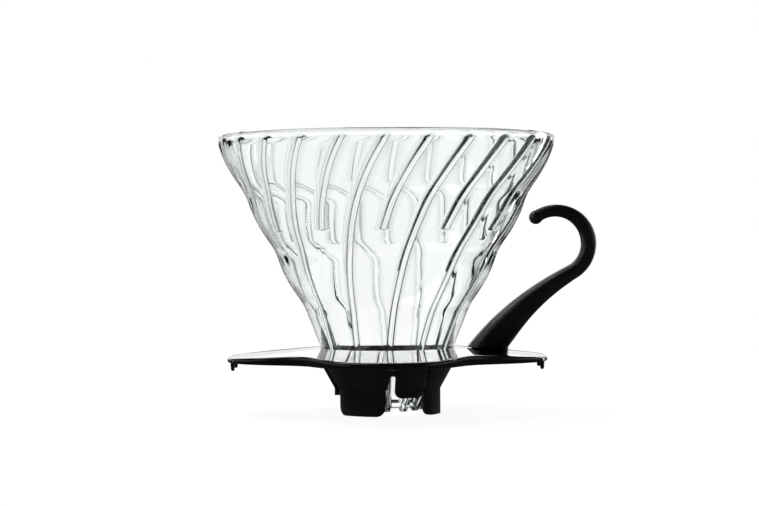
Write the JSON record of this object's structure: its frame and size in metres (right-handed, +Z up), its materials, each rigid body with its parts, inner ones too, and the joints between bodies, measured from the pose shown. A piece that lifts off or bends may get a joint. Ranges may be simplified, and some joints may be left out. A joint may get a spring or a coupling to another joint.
{
  "type": "pour over dripper",
  "caption": "Clear glass cone dripper with stepped tiers outside and spiral ribs inside, seated in a black lobed plate with short legs and a hook handle.",
  "frame": {"origin": "middle of the whole object in plan, on the plane under the three long legs", "axes": "+X from the cone's axis towards the handle, +Z up out of the cone's mouth"},
  "size_m": [0.1307, 0.1164, 0.0964],
  "materials": {
    "clear_glass": "clear polished",
    "black_plastic": "smooth gloss",
    "black_handle_plastic": "smooth satin",
    "screw_steel": "plain"
  },
  "bodies": {
    "holder": {"holder": "black_plastic", "handle": "black_handle_plastic", "handle_screw": "screw_steel"},
    "glass": {"glass_cone": "clear_glass"}
  },
  "joints": [
    {"name": "glass_lift", "type": "slide", "parent": "holder", "child": "glass", "axis": [0, 0, 1], "range_m": [0, 0.03]}
  ]
}
